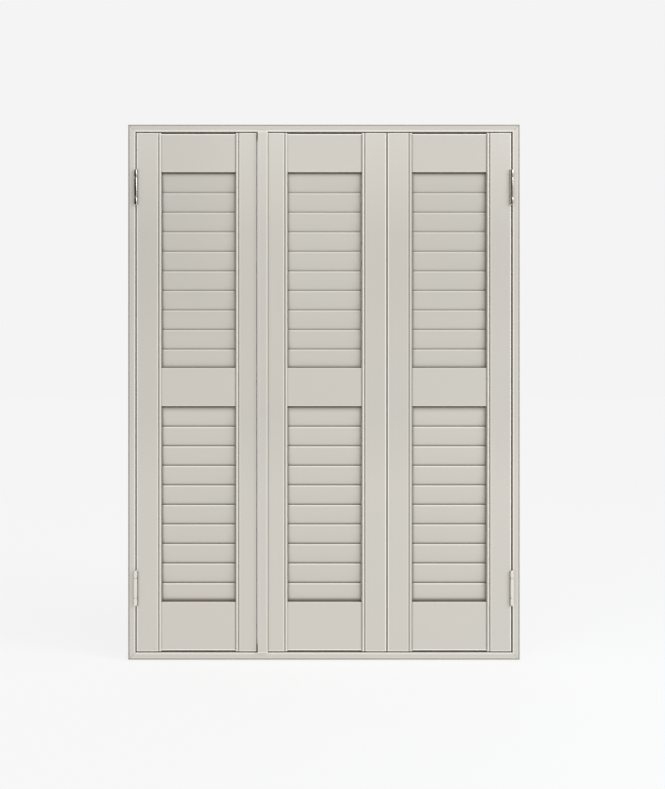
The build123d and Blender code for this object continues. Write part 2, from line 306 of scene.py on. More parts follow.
hinge_nickel = nickel("hinge_nickel", polish=0.02)
screw_nickel = nickel("screw_nickel", polish=0.22)
print("metals:", hinge_nickel.name, screw_nickel.name)

# %% [markdown]
# Nearly every timber piece is one moulding: a profile carried along a straight path. So the
# profile comes first. It is a list of corners, each with a radius, and the function turns the
# corners into arcs. Beside each arc it keeps two more points on the flat, so that the smooth
# shading of the arc doesn't spread over the whole face. The paint wear and painted light and
# shade fade out between them.

# %% Profiles
fade, plateau, fade_room = 2.0 * mm, 0.8 * mm, 5.0 * mm
arc_steps, same_point, least_cosine = 7, 1e-7, 0.5


def rounded(corners):
    """Closed outline from corners (a, b, radius, paint wear and painted shading). An arc touches both
    sides of its corner at radius / tan(half the corner's angle), and its centre is on the bisector at
    radius / sin(half that angle). Returns the points and the paint wear and painted shading of each."""
    table = np.array(corners, float)
    points, radii, corner_wear_and_shading = table[:, :2], table[:, 2], table[:, 3]
    to_last = np.roll(points, 1, 0) - points
    to_next = np.roll(points, -1, 0) - points
    side = np.linalg.norm(to_next, axis=1)
    to_last /= np.linalg.norm(to_last, axis=1)[:, None]
    to_next /= side[:, None]
    half = np.arccos(np.clip((to_last * to_next).sum(1), -1, 1)) / 2
    reach = radii / np.tan(half)
    spare_next = side - reach - np.roll(reach, -1)
    spare_last = np.roll(spare_next, 1)
    outline, wear = [], []
    for i, corner in enumerate(points):
        start, end = corner + reach[i] * to_last[i], corner + reach[i] * to_next[i]
        if radii[i] > 0:
            bisector = (to_last[i] + to_next[i]) / np.linalg.norm(to_last[i] + to_next[i])
            centre = corner + bisector * radii[i] / np.sin(half[i])
            first = (start - centre) / radii[i]
            across = (end - centre) / radii[i]
            across = across - (across @ first) * first
            across /= np.linalg.norm(across)
            turn = np.linspace(0, np.pi - 2 * half[i], arc_steps + 1)[:, None]
            arc = centre + radii[i] * (np.cos(turn) * first + np.sin(turn) * across)
        else:
            arc = corner[None]
        marks = np.full(len(arc), corner_wear_and_shading[i])
        steps = np.array([plateau, fade])[:, None]
        if spare_last[i] > fade_room:
            arc = np.vstack([start + steps[::-1] * to_last[i], arc])
            marks = np.append([0, corner_wear_and_shading[i]], marks)
        if spare_next[i] > fade_room:
            arc = np.vstack([arc, end + steps * to_next[i]])
            marks = np.append(marks, [corner_wear_and_shading[i], 0])
        outline.append(arc)
        wear.append(marks)
    outline, wear = np.vstack(outline), np.concatenate(wear)
    apart = np.linalg.norm(outline - np.roll(outline, 1, 0), axis=1) > same_point
    return outline[apart], wear[apart]


def inset(outline, depth):
    """Outline moved inwards: each point goes along the bisector of its two sides' normals, by
    depth over the cosine of half the turn between them."""
    last, after = outline - np.roll(outline, 1, 0), np.roll(outline, -1, 0) - outline
    across, up = outline.T
    area = (across * np.roll(up, -1) - up * np.roll(across, -1)).sum()
    left = np.array([[0, 1], [-1, 0]]) * np.sign(area)
    normals = [way @ left / np.linalg.norm(way, axis=1)[:, None] for way in (last, after)]
    middle = normals[0] + normals[1]
    middle /= np.linalg.norm(middle, axis=1)[:, None]
    return outline + depth * middle / np.maximum((middle * normals[0]).sum(1), least_cosine)[:, None]


square = [(a, b, mm, 1) for a, b in ((0, 0), (1, 0), (1, 1), (0, 1))]
print("outline of a rounded square:", len(rounded(square)[0]), "points")

# %% [markdown]
# Carrying the profile gives a grid of points: one ring of the profile at each station of the
# path. At both ends the rings draw in along a quarter circle, as sandpaper leaves a
# sawn end. A mitred end is the same thing with its stations slanted: a point that lies further
# in along the frame's face stops earlier.

# %% Mouldings
ease_steps, sharp_angle = 3, math.radians(38)


def ring_shell(points, wear=0.0, closed=False):
    """Shell of (points, faces, paint wear and painted shading) from an array of rings: quads between
    neighbouring rings and one face over each end. Where it is closed, the last ring joins the first
    instead."""
    rings, size = points.shape[:2]
    ring, point = np.meshgrid(np.arange(rings if closed else rings - 1), np.arange(size), indexing="ij")
    after, above = (point + 1) % size, (ring + 1) % rings
    quads = np.stack(
        [ring * size + point, ring * size + after, above * size + after, above * size + point], axis=-1
    )
    faces = quads.reshape(-1, 4).tolist()
    if not closed:
        faces += [list(range(size))[::-1], list(range((rings - 1) * size, rings * size))]
    return points.reshape(-1, 3), faces, np.broadcast_to(wear, (rings, size)).ravel()


def moulding(profile, middle, half, lay, ease, mitre=0.0, end_wear_and_shading=0.0, end_fade=fade):
    """Shell of a profile carried along a straight path. At angle q of the eased end, a ring is
    inset by ease * (1 - sin q) and lies ease * (1 - cos q) from the end. lay turns the profile's
    two coordinates and the place along the path into x, y and z."""
    outline, wear = profile
    turn = np.linspace(0, np.pi / 2, ease_steps + 1)
    draw = np.append(ease * (1 - np.sin(turn)), 0.0)
    back = np.append(ease * (1 - np.cos(turn)), ease + end_fade)
    marks = np.append(np.full(ease_steps + 1, end_wear_and_shading), 0.0)
    way = np.concatenate([-np.ones(len(draw)), np.ones(len(draw))])
    draw, back, marks = (np.concatenate([part, part[::-1]]) for part in (draw, back, marks))
    rings = np.stack([inset(outline, depth) for depth in draw])
    along = middle + way[:, None] * (half - mitre * rings[..., 1] - back[:, None])
    points = np.stack(lay(rings[..., 0], rings[..., 1], along), axis=-1)
    worn_and_shaded = np.where(np.abs(wear)[None] > np.abs(marks)[:, None], wear[None], marks[:, None])
    return ring_shell(points, worn_and_shaded)


def signed_volume(points, faces):
    """Sum of the triangles' triple products over six, with each face cut into a fan."""
    fans = [(face[0], face[i], face[i + 1]) for face in faces for i in range(1, len(face) - 1)]
    a, b, c = (points[np.array(fans)[:, i]] for i in range(3))
    return (a * np.cross(b, c)).sum() / 6


def add(name, data):
    """A new object in the scene."""
    thing = bpy.data.objects.new(name, data)
    scene.collection.objects.link(thing)
    return thing


def build(name, shells, material, body, nodes=()):
    """One mesh from closed shells of (points, faces, paint wear and painted shading), turned outwards,
    which rides on a body and stands for the given solids."""
    points, faces, wear, count = [], [], [], 0
    for shell_points, shell_faces, shell_wear in shells:
        step = 1 if signed_volume(shell_points, shell_faces) > 0 else -1
        faces += [[count + i for i in face[::step]] for face in shell_faces]
        points.append(shell_points)
        wear.append(shell_wear)
        count += len(shell_points)
    mesh = bpy.data.meshes.new(name)
    mesh.from_pydata(np.vstack(points), [], faces)
    mesh.attributes.new("wear", "FLOAT", "POINT").data.foreach_set(
        "value", np.concatenate(wear).astype(np.float32)
    )
    mesh.shade_smooth()
    mesh.set_sharp_from_angle(angle=sharp_angle)
    mesh.materials.append(material)
    piece = add(name, mesh)
    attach(piece, body)
    if nodes:
        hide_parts(*nodes)
    return piece


print("mouldings ready")

# %% [markdown]
# Some pieces are drilled: the louvre pins turn in the stiles, and the frame is screwed to the
# wall through its jambs. A hole is cut with a Boolean against plain round bars, and the result
# replaces the mesh, so that no modifier is left on the piece.

# %% Drilling
bore_points = 20


def angles(count):
    """Angles spaced evenly round a circle."""
    return np.linspace(0, 2 * np.pi, count, endpoint=False)


def round_bar(places, radii, y, z, wear=0.0):
    """Round bar along X: at each place a circle of its radius, about y and z."""
    turn = angles(bore_points)
    along, radius = np.array(places)[:, None], np.array(radii)[:, None]
    rings = np.stack([along + 0 * turn, y + radius * np.cos(turn), z + radius * np.sin(turn)], axis=-1)
    return ring_shell(rings, wear)


def drill(piece, start, end, radius, y, heights):
    """Cuts a round hole along X out of a piece at each height, and keeps the cut mesh."""
    bars = [round_bar((start, end), (radius, radius), y, z) for z in heights]
    cutter = build("cutter", bars, upright_paint, "frame")
    cut = piece.modifiers.new("bores", "BOOLEAN")
    cut.operation, cut.solver, cut.object = "DIFFERENCE", "EXACT", cutter
    drilled = bpy.data.meshes.new_from_object(piece.evaluated_get(bpy.context.evaluated_depsgraph_get()))
    piece.modifiers.clear()
    solid, piece.data = piece.data, drilled
    for spare in (cutter.data, solid):
        bpy.data.meshes.remove(spare)
    drilled.name = piece.name
    drilled.set_sharp_from_angle(angle=sharp_angle)


print("drilling ready")

# %% [markdown]
# The frame is four mitred lengths of one moulding. Its outer arris is taken off in a steep
# bevel, which shows from the front as a narrow darker band, the inner one is barely broken, and
# a lip behind the panels stops them. Mitres always show as a hairline, so the ends are eased by
# a fraction of a millimetre. Painted shade darkens the bevel, most on the right jamb, the head and
# the sill, and painted highlights run by the inner arris and on it, except on the right jamb,
# where that arris is in painted shade.

# %% Frame
frame_face, stop_reach, stop_depth = 16 * mm, 12 * mm, 10 * mm
bevel_width, bevel_depth, pool_share = 3.4 * mm, 8 * mm, 0.35
bevel_round, inner_round, stop_round, back_round = 1 * mm, 1 * mm, 0.4 * mm, 0.6 * mm
# The edge of the bevel is in painted shade.
edge_line, arris_line, edge_shade, back_wear = 1.6 * mm, 2.0 * mm, -0.5, 0.5
mitre_ease, mitre_fade, mitre_wear = 0.25 * mm, 0.8 * mm, -0.5
lip_end = frame_face + stop_reach
half_height = frame_height / 2


def frame_profile(bevel_shade, beside_light, line_highlight, arris_light_and_shade):
    """Outline of the moulding, in depth and in distance from the outer edge. The four values of paint
    wear and painted light and shade are for the bevel, a line beside it, a line by the inner arris
    and that arris."""
    return rounded([
        (frame_front + bevel_depth, 0, bevel_round, bevel_shade),
        (frame_front + bevel_depth * pool_share, bevel_width * (1 - pool_share), 0, bevel_shade),
        (frame_front, bevel_width, bevel_round, edge_shade),
        (frame_front, bevel_width + edge_line, 0, beside_light),
        (frame_front, frame_face - arris_line, 0, line_highlight),
        (frame_front, frame_face, inner_round, arris_light_and_shade),
        (frame_back - stop_depth, frame_face, stop_round, -1),
        (frame_back - stop_depth, lip_end, inner_round, 1),
        (frame_back, lip_end, back_round, back_wear),
        (frame_back, 0, back_round, back_wear),
    ])


# Painted light and shade of each length, for the bevel, the line beside it, the line by the inner arris
# and that arris.
frame_light_and_shade = {
    "frame_left_jamb": (-0.7, 0.1, 0.5, 0.5), "frame_right_jamb": (-1.2, 0.3, 0.9, -0.8),
    "frame_head": (-1.25, 0.1, 0.6, 0.6), "frame_sill": (-1.25, 0.1, 0.5, 0.5),
}
upright_run, level_run = (half_height, half_height, upright_paint), (0, half_width, level_paint)
lengths = {
    "frame_left_jamb": (*upright_run, lambda y, w, s: (w - half_width, y, s)),
    "frame_right_jamb": (*upright_run, lambda y, w, s: (half_width - w, y, s)),
    "frame_head": (*level_run, lambda y, w, s: (s, y, frame_height - w)),
    "frame_sill": (*level_run, lambda y, w, s: (s, y, w)),
}
frame_pieces = {}
for node, (middle, half, material, lay) in lengths.items():
    shell = moulding(
        frame_profile(*frame_light_and_shade[node]), middle, half, lay, mitre_ease,
        mitre=1.0, end_wear_and_shading=mitre_wear, end_fade=mitre_fade,
    )
    frame_pieces[node] = build(
        node.replace("frame_", "painted_"), [shell], material, "frame", [node]
    )

fixing_radius, fixing_inset = 2.5 * mm, 196.5 * mm
fixing_y = frame_back - stop_depth / 2
for node, side in (("frame_left_jamb", -1), ("frame_right_jamb", 1)):
    drill(
        frame_pieces[node], side * (half_width + fade), side * (half_width - lip_end - fade),
        fixing_radius, fixing_y, (fixing_inset, frame_height - fixing_inset),
    )
print("frame:", sum(len(piece.data.polygons) for piece in frame_pieces.values()), "faces")

# %% [markdown]
# A stile is a plain upright with a bead worked along its inner arris: a half round, set off from
# the face by a sunk quirk. The bead is what catches the light as a thin bright line beside the
# louvres, and the quirk is the dark line next to it. Both are cut into the solid, so both are
# in the profile here. Twenty bores on the inner side take the louvres' pins. Where the pair of
# panels folds, a tongue on one stile stands in a groove in the other and keeps the light out.
# Where the cover strip is planted on its stile, a painted shade runs along the foot, with paint
# pooled there. Each bead has a painted highlight on its right-hand side and painted shade on its
# left, and the inner face behind it is in painted shade.

# %% Stiles
bead_width, quirk_width = 5 * mm, 1.5 * mm
arris_round, quirk_round, stile_ease = 0.8 * mm, 0.45 * mm, 0.6 * mm
pin_bore_radius, pin_bore_depth = 2.06 * mm, 7.5 * mm
louvre_count = 10
panel_names = ("left", "middle", "right")
stiles = {
    "left_hinge_stile": 1, "left_meeting_stile": -1, "middle_meeting_stile": 1,
    "middle_fold_stile": -1, "right_fold_stile": 1, "right_hinge_stile": -1,
}


def louvre_pivots(panel):
    """Heights of the pivots of the upper and the lower louvres, each from the top down, and the
    depth that they share."""
    boxes = [place(f"{panel}_upper_louvre_{number:02}")[:2] for number in range(1, louvre_count + 1)]
    upper = np.array([(low + high) / 2 for low, high in boxes])
    half_louvre = (boxes[0][1] - boxes[0][0])[2] / 2
    low, high, _ = place(f"{panel}_lower_louvres")
    lower = np.linspace(high[2] - half_louvre, low[2] + half_louvre, louvre_count)
    return upper[:, 2], lower, upper[0, 1]


tongue_front, tongue_thickness, tongue_reach = 6 * mm, 4 * mm, 6.5 * mm
groove_front, groove_thickness, groove_reach = 4.8 * mm, 6 * mm, 4.2 * mm
joint_round, foot_pool, sheltered_depth, quirk_shade = 0.4 * mm, 0.8 * mm, 4 * mm, 2 * mm
# Painted shade along the strip's foot and on the inner face by the pins, and painted light beside the
# quirk of a shaded bead and on the meeting stile's arris by the strip.
foot_shade, quirk_side_light, sheltered_shade, meeting_arris_light = -0.8, 0.3, -0.6, 0.3
# Lit and shaded sets of painted light and shade for the beads.
bead_light_and_shade = {
    "lit": {"edge": 0.7, "floor": -0.2, "foot": -0.8, "quirk": -0.15, "louvre": 0.6, "back": -1.1},
    "shaded": {"edge": -1.1, "floor": 0, "foot": -0.4, "quirk": 0.9, "louvre": -0.6, "back": -0.3},
}


def fold_edge(outer, front, thickness, reach, corner_wear_and_shading):
    """Corners from back to front of a tongue, or of a groove where reach points inwards."""
    start, end = panel_front + front, panel_front + front + thickness
    root, tip = corner_wear_and_shading
    return [
        (outer, end, joint_round, root), (outer + reach, end, joint_round, tip),
        (outer + reach, start, joint_round, tip), (outer, start, joint_round, root),
    ]


def stile_profile(node, outer, inner, way, pin_y):
    """Outline of a stile in x and depth. way points along X from its outer edge to its bead."""
    edge, foot, beside, worn_and_shaded = [], [], [], bead_light_and_shade["lit"]
    bead, quirk = inner - way * bead_width, inner - way * (bead_width + quirk_width)
    bead_depth = panel_front + bead_width / 2
    if node == "right_fold_stile":
        outer += tongue_reach
        edge = fold_edge(outer, tongue_front, tongue_thickness, -tongue_reach, (-1, 1))
    if node == "middle_fold_stile":
        edge = fold_edge(outer, groove_front, groove_thickness, -groove_reach, (1, -1))
    if node == "middle_meeting_stile":
        planted = place("cover_strip")[1][0]
        foot = [
            (planted - fade, panel_front, 0, 0), (planted, panel_front, 0, -1),
            (planted + foot_pool, panel_front, 0, foot_shade), (planted + fade, panel_front, 0, 0),
        ]
    if way < 0 or node == "right_fold_stile":
        beside = [(quirk - way * quirk_shade, panel_front, 0, quirk_side_light)]
        worn_and_shaded = bead_light_and_shade["shaded"]
    return rounded([
        (outer, panel_front, arris_round, meeting_arris_light if node == "left_meeting_stile" else 1),
        *foot, *beside,
        (quirk, panel_front, arris_round / 2, worn_and_shaded["edge"]),
        (quirk, bead_depth, quirk_round, worn_and_shaded["floor"]),
        (bead, bead_depth, 0, worn_and_shaded["foot"]),
        (bead, panel_front, bead_width / 2, worn_and_shaded["quirk"]),
        (inner, panel_front, bead_width / 2, worn_and_shaded["louvre"]),
        (inner, panel_front + bead_width, 0, worn_and_shaded["back"]),
        (inner, pin_y, 0, sheltered_shade),
        (inner, pin_y + sheltered_depth, 0, 0),
        (inner, panel_back, arris_round, 1),
        (outer, panel_back, arris_round, 1),
        *edge,
    ])


def along_z(x, y, path):
    """Lays a profile in x and y along Z."""
    return x, y, path


def span(low, high, axis):
    """Middle and half length of a box along one axis."""
    return (low[axis] + high[axis]) / 2, (high[axis] - low[axis]) / 2


for node, way in stiles.items():
    low, high, body = place(node)
    outer, inner = (low[0], high[0]) if way > 0 else (high[0], low[0])
    upper, lower, pin_y = louvre_pivots(node.split("_")[0])
    profile = stile_profile(node, outer, inner, way, pin_y)
    shell = moulding(profile, *span(low, high, 2), along_z, stile_ease, end_wear_and_shading=1.0)
    paint = hinge_stile_paint if "hinge" in node else upright_paint
    stile = build(f"painted_{node}", [shell], paint, body, [node])
    drill(
        stile, inner - way * pin_bore_depth, inner + way * fade, pin_bore_radius, pin_y,
        np.concatenate([upper, lower]),
    )
print("stiles:", len(stiles), "with", 2 * louvre_count, "bores each")

# %% [markdown]
# The rails lie a little behind the stiles' faces. The middle and bottom ones are rebated along
# the top, so that the lowest louvre of each tier closes behind a lip, and the top and middle ones
# have a lip along the back, in front of which the first louvre closes. So no light comes through.

# %% Rails
rebate_depth, rebate_lip = 9.575 * mm, 10.7 * mm
lip_round, rail_ease, rail_fade, light_stop_drop = 0.6 * mm, 0.15 * mm, 3 * mm, 6.5 * mm
# A painted highlight on the rails' arrises by the louvres, and painted shade at their ends, along the
# dark joint beside the beads.
louvre_arris_light, rail_end_shade = 0.3, -0.5


def along_x(y, z, path):
    """Lays a profile in y and z along X."""
    return path, y, z


def rail_profile(level, low, high, stop):
    """Outline of a rail in depth and height, with the rebate and the lip that its level has."""
    bottom, lip = low[2], panel_front + rebate_lip
    lower_edge = [(panel_back, low[2], arris_round, 1)]
    upper_edge = [(panel_back, high[2], arris_round, 1)]
    if level != "bottom":
        bottom += light_stop_drop
        lower_edge = [(stop, bottom, quirk_round, -1), (stop, low[2], lip_round, 1), *lower_edge]
    if level != "top":
        rebate = high[2] - rebate_depth
        upper_edge = [
            (panel_back, rebate, arris_round, 1), (lip, rebate, quirk_round, -1),
            (lip, high[2], lip_round, 1),
        ]
    return rounded([
        (low[1], bottom, arris_round, 1 if level == "bottom" else louvre_arris_light),
        *lower_edge, *upper_edge,
        (low[1], high[2], arris_round, 1 if level == "top" else louvre_arris_light),
    ])


for panel in panel_names:
    for level in ("top", "mid", "bottom"):
        node = f"{panel}_{level}_rail"
        low, high, body = place(node)
        profile = rail_profile(level, low, high, louvre_pivots(panel)[2])
        shell = moulding(
            profile, *span(low, high, 0), along_x, rail_ease, end_wear_and_shading=rail_end_shade, end_fade=rail_fade
        )
        paint = middle_paint if level == "mid" else level_paint
        build(f"painted_{node}", [shell], paint, body, [node])
print("rails:", 3 * len(panel_names))

# %% [markdown]
# A louvre is a lens in section, thick in the middle and thin at both edges, with rounded noses.
# The formula is a parabola for the lens plus a blunt edge that falls away over the last
# millimetre. Sampling the chord by the sine of an angle crowds the points at the noses, where
# the shape turns fastest. Each louvre of an upper tier turns on its own pins, so it is a piece
# by itself. A lower tier is one piece, because it rides with its panel.

# %% Louvres
louvre_chord, louvre_thickness, louvre_edge = 46.3 * mm, 8 * mm, 1.8 * mm
louvre_tilt, nose_power, side_points = math.radians(8.35), 44, 30
nose_start, nose_fade, lap_fade = 20.5 * mm, 1 * mm, 6 * mm
# Painted light and shade of each tier: a highlight on the upper nose, a shadow under the rail on the
# first louvre and shade in the laps, with the lower tier's marks stronger.
upper_looks = {"nose": 0.6, "shelter": 15 * mm, "lap": (-12 * mm, 0.9), "last lap": (-9 * mm, 1.2)}
lower_looks = {"nose": 0.8, "shelter": 11 * mm, "lap": (-12 * mm, 1.3), "last lap": (-6 * mm, 1.3)}
# The louvres' ends are in painted shade, in the gap by the stiles.
louvre_gap, louvre_ease, louvre_end_fade, louvre_end_shade = 0.4 * mm, 0.3 * mm, 5 * mm, -0.9
pin_radius, pin_length, pin_ease = 2 * mm, 8 * mm, 0.4 * mm


def louvre_profile(centre_y, centre_z, looks, place_in_tier):
    """Lens outline in y and z. At share u of the half chord, the half thickness is
    Its marks are a painted highlight on the upper nose and a painted shade where the next louvre or
    the rail below laps this one. The first louvre of a tier has a painted shadow over its upper edge
    instead, under the rail above.
    the rail above."""
    turn = np.linspace(-np.pi / 2, np.pi / 2, side_points + 1)
    share = np.sin(turn)
    bulge = (louvre_thickness - louvre_edge) / 2
    thick = bulge * (1 - share**2) + louvre_edge / 2 * np.sqrt(1 - np.abs(share) ** nose_power)
    chord = np.concatenate([share, share[-2:0:-1]]) * louvre_chord / 2
    depth = np.concatenate([thick, -thick[-2:0:-1]])
    y = centre_y - chord * math.sin(louvre_tilt) + depth * math.cos(louvre_tilt)
    z = centre_z + chord * math.cos(louvre_tilt) + depth * math.sin(louvre_tilt)
    nose = looks["nose"] * np.clip((chord - nose_start) / nose_fade, 0, 1)
    if place_in_tier == "first":
        shelter = looks["shelter"]
        nose = -np.clip((chord - shelter) / (louvre_chord / 2 - shelter), 0, 1) ** 2
    lap_end, lap_shade = looks["last lap" if place_in_tier == "last" else "lap"]
    lapped = np.clip((lap_end - chord) / lap_fade, 0, 1)
    return np.stack([y, z], axis=1), nose - lap_shade * lapped


def pin(x, way, y, z):
    """Round pin along X at a louvre's end, whose radius draws in at the tip."""
    along = x + way * np.array([-way * louvre_ease, pin_length - pin_ease, pin_length])
    # The pins are in painted shade.
    return round_bar(along, (pin_radius, pin_radius, pin_radius - pin_ease), y, z, wear=-1.0)


def louvre(left, right, y, z, looks, place_in_tier):
    """Shells of one louvre between two ends, with its pins."""
    blade = moulding(
        louvre_profile(y, z, looks, place_in_tier), (left + right) / 2, (right - left) / 2,
        along_x, louvre_ease, end_wear_and_shading=louvre_end_shade, end_fade=louvre_end_fade,
    )
    return [blade, pin(left, -1, y, z), pin(right, 1, y, z)]


def tier(left, right, y, heights, looks):
    """Lists of shells of the louvres of one tier, from the top down."""
    places = ["first", *["middle"] * (louvre_count - 2), "last"]
    return [louvre(left, right, y, z, looks, place_in_tier) for z, place_in_tier in zip(heights, places)]


for panel in panel_names:
    upper, lower, pivot_y = louvre_pivots(panel)
    bank_low, bank_high, bank_body = place(f"{panel}_lower_louvres")
    left, right = bank_low[0] + louvre_gap, bank_high[0] - louvre_gap
    for number, shells in enumerate(tier(left, right, pivot_y, upper, upper_looks), start=1):
        node = f"{panel}_upper_louvre_{number:02}"
        build(f"painted_{node}", shells, upper_paint, place(node)[2], [node])
    bank = [shell for shells in tier(left, right, pivot_y, lower, lower_looks) for shell in shells]
    build(
        f"painted_{panel}_lower_louvres", bank, lower_paint, bank_body,
        [f"{panel}_lower_louvres"],
    )
pitch = round((upper[0] - upper[1]) / mm, 2)
print("louvres:", 2 * louvre_count * len(panel_names), "pitch", pitch, "mm")

# %% [markdown]
# A cover strip hides the joint where the left panel meets the folding pair. It is a flat cap
# with softly rounded arrises on a stem that is screwed to the middle panel's edge.

# %% Cover strip
strip_proud, strip_round, strip_ease, strip_line = 5 * mm, 1.2 * mm, 0.8 * mm, 2.4 * mm
# Painted shade on the arris by the left panel's gap, at the foot of the cap and under it, and painted
# highlights on a line beside that arris and on the other arris.
joint_shade, strip_line_light, strip_arris_light = -0.45, 0.4, 0.5
foot_round, under_round, strip_foot_shade, under_shade = 0.2 * mm, 0.6 * mm, -0.6, -0.3
stem_inset, stem_depth, stem_lap, stem_round, stem_wear = 1 * mm, 22 * mm, 1 * mm, 0.6 * mm, 0.5
low, high, body = place("cover_strip")
middle_edge = place("middle_meeting_stile")[0][0]
cap_front, cap_back = low[1], low[1] + strip_proud
cap = rounded([
    (low[0], cap_front, strip_round, joint_shade), (low[0] + strip_line, cap_front, 0, strip_line_light),
    (low[0] + strip_line + fade, cap_front, 0, 0), (high[0], cap_front, strip_round, strip_arris_light),
    (high[0], cap_back, foot_round, strip_foot_shade), (low[0], cap_back, under_round, under_shade),
])
stem_edge, stem_front, stem_back = low[0] + stem_inset, cap_back - stem_lap, cap_back + stem_depth
stem = rounded([
    (stem_edge, stem_front, 0, 0), (middle_edge, stem_front, 0, 0),
    (middle_edge, stem_back, stem_round, 1), (stem_edge, stem_back, stem_round, 1),
])
middle, half = span(low, high, 2)
_, stem_half = span(stile_low, stile_high, 2)
strip = build("painted_cover_strip", [
    moulding(cap, middle, half, along_z, strip_ease, end_wear_and_shading=1.0),
    moulding(stem, middle, stem_half, along_z, stile_ease, end_wear_and_shading=stem_wear),
], upright_paint, body, ["cover_strip"])
print("cover strip:", len(strip.data.polygons), "faces")

# %% [markdown]
# A hinge is two leaves let in between panel and jamb, with knuckles that interleave round a pin.
# The knuckles are turned: a profile of radius and height is carried round the axis. The leaves
# are flat plates with rounded corners. The pin ends in a small domed head, top and bottom.

# %% Hinges
knuckle_radius, hinge_pin_radius, hinge_pin_slack = 3.68 * mm, 1.8 * mm, 0.06 * mm
knuckle_clear, leaf_play = 0.3 * mm, 0.3 * mm
jamb_leaf_depth, fold_leaf_depth = 22 * mm, 15.2 * mm
end_knuckle, middle_knuckle, knuckle_gap = 15 * mm, 40 * mm, 0.4 * mm
head_lip, head_height = 1 * mm, 1 * mm
knuckle_crown, knuckle_round, knuckle_power, crown_steps = 0.45 * mm, 0.45 * mm, 1.2, 25
leaf_corner, plate_round, leaf_ease = 3 * mm, 0.2 * mm, 0.12 * mm
web_start, web_lap = 0.8 * knuckle_radius, 0.5 * mm
turn_steps, dome_steps, dome_turn, rim_share, rim_step = 48, 6, 0.93, 0.3, 0.02 * mm
standoff = knuckle_radius + knuckle_clear
hinge_height = 2 * end_knuckle + middle_knuckle + 2 * knuckle_gap
end_offset = (hinge_height - end_knuckle) / 2
outer_knuckles = [(-end_offset, end_knuckle), (end_offset, end_knuckle)]
inner_knuckle = [(0.0, middle_knuckle)]


def turned(profile, x, y, closed):
    """Profile of radius and height carried round the upright axis at x and y. A closed profile
    makes a ring, and an open one a solid with a flat end at its first and last radius."""
    turn = angles(turn_steps)
    radius, height = profile[:, :1], profile[:, 1:]
    points = np.stack(
        [x + radius * np.cos(turn), y + radius * np.sin(turn), height + 0 * turn], axis=-1
    )
    return ring_shell(points, closed=closed)


def knuckle(x, y, z, height):
    """Ring round the pin. At share u of the half height its radius falls by crown * u^2, and by
    round * (1 - sqrt(1 - |u|^n)) as well, where a large n keeps that second fall to the ends."""
    share = np.sin(np.linspace(-np.pi / 2, np.pi / 2, crown_steps))
    ends = np.abs(share) ** (knuckle_power * height / knuckle_round)
    radius = knuckle_radius - knuckle_crown * share**2 - knuckle_round * (1 - np.sqrt(1 - ends))
    radius = np.concatenate([radius, 2 * [hinge_pin_radius + hinge_pin_slack]])
    rise = np.concatenate([share, [1, -1]]) * height / 2
    return turned(np.stack([radius, z + rise], axis=1), x, y, closed=True)


def leaf(axis_x, axis_y, plate_x, thickness, depth, way, z, knuckles):
    """Shells of one leaf: its plate, and the knuckles with the webs that join them to it."""
    start, end = axis_y + way * standoff, axis_y + way * (standoff + depth)
    low, high = z - hinge_height / 2, z + hinge_height / 2
    plate = rounded([
        (start, low, plate_round, 0), (end, low, leaf_corner, 0), (end, high, leaf_corner, 0),
        (start, high, plate_round, 0),
    ])
    middle = plate_x + thickness / 2
    shells = [moulding(plate, middle, abs(thickness) / 2, along_x, leaf_ease)]
    far_x, web_near, web_far = plate_x + thickness, axis_y + way * web_start, start + way * web_lap
    for offset, height in knuckles:
        web = rounded([
            (plate_x, web_near, 0, 0), (far_x, web_near, 0, 0),
            (far_x, web_far, 0, 0), (plate_x, web_far, 0, 0),
        ])
        shells.append(moulding(web, z + offset, height / 2, along_z, leaf_ease))
        shells.append(knuckle(axis_x, axis_y, z + offset, height))
    return shells


def hinge_pin(x, y, z):
    """Headed pin: the radius steps from the shank out to a head that closes in a low dome."""
    turn = np.linspace(0, np.pi / 2, dome_steps)[1:]
    head, reach = hinge_pin_radius + head_lip, hinge_height / 2
    rise = head_height * (rim_share + (1 - rim_share) * np.sin(turn))
    dome = np.stack([head * np.cos(turn * dome_turn), reach + rise], axis=1)
    upper = np.vstack([[hinge_pin_radius, 0.0], [hinge_pin_radius, reach], [head, reach + rim_step],
                       [head, reach + rim_share * head_height], dome])
    profile = np.vstack([upper[:0:-1] * [1, -1], upper])
    return turned(profile + [0, z], x, y, closed=False)


print("hinge height", round(hinge_height / mm, 1), "mm")

# %% [markdown]
# Each leaf is held by three countersunk screws with a cross recess. A screw head is a height
# over a disc, worked out on rings and spokes: a low crown, less a recess where a point lies
# within half a slot's width of either arm of the cross.

# %% Hinge screws
screw_radius, screw_crown = 2.9 * mm, 0.08 * mm
slot_half, slot_reach, slot_depth = 0.42 * mm, 1.7 * mm, 0.6 * mm
spokes, screw_rings, hub_share, slot_turn = 40, 12, 0.06, 0.4
slot_shoulder, slot_fade, seat_depth, seat_share = 1.5, 0.3 * mm, 0.9 * mm, 0.6
screw_heights, screw_depth_shares = (-25 * mm, 0.0, 25 * mm), (0.42, 0.68, 0.42)


